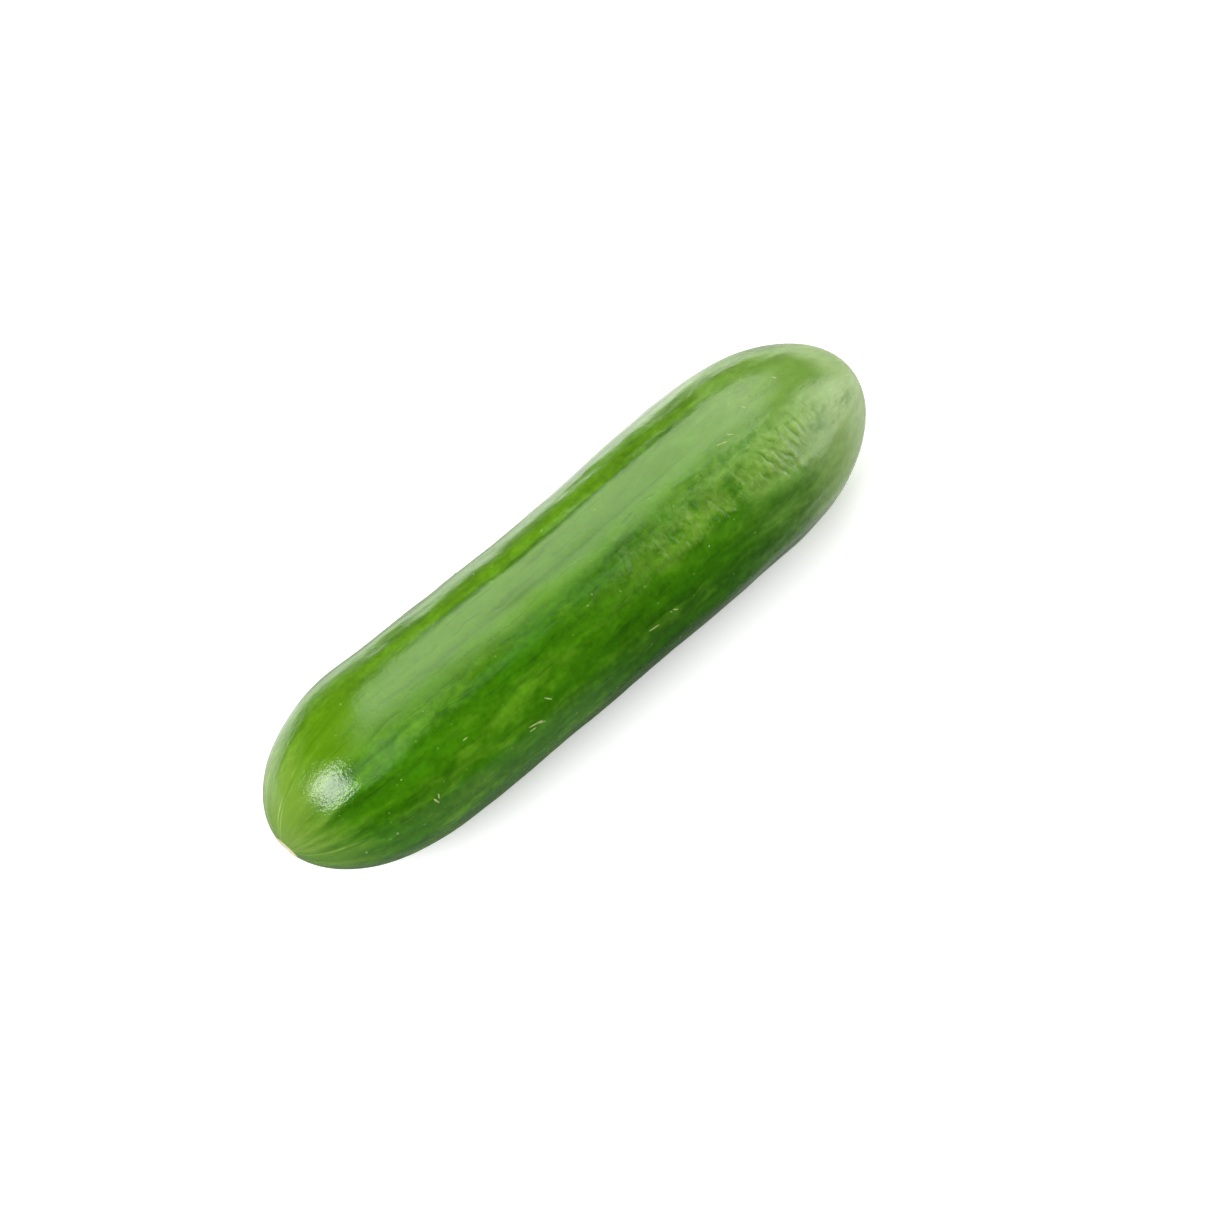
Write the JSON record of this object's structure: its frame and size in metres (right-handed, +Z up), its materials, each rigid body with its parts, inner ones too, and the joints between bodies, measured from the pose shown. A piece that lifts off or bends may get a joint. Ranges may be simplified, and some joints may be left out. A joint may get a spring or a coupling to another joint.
{
  "type": "cucumber",
  "caption": "Whole mini cucumber with smooth, faintly ribbed green skin, a corky flower scar and a stem trimmed level with its shoulder, lying on its side.",
  "frame": {"origin": "middle of the narrow flat that the fruit rests on, under its centre of mass", "axes": "+X along the fruit towards its stem end, +Y sideways, +Z up from the surface it lies on"},
  "size_m": [0.1473, 0.0397, 0.0381],
  "materials": {
    "skin": "waxy satin green skin with darker lengthwise stripes and fine pale flecks",
    "stem": "matt pale green rind with a pale cut face"
  },
  "bodies": {
    "root": {"fruit": "skin", "stem_stub": "stem"}
  },
  "joints": []
}
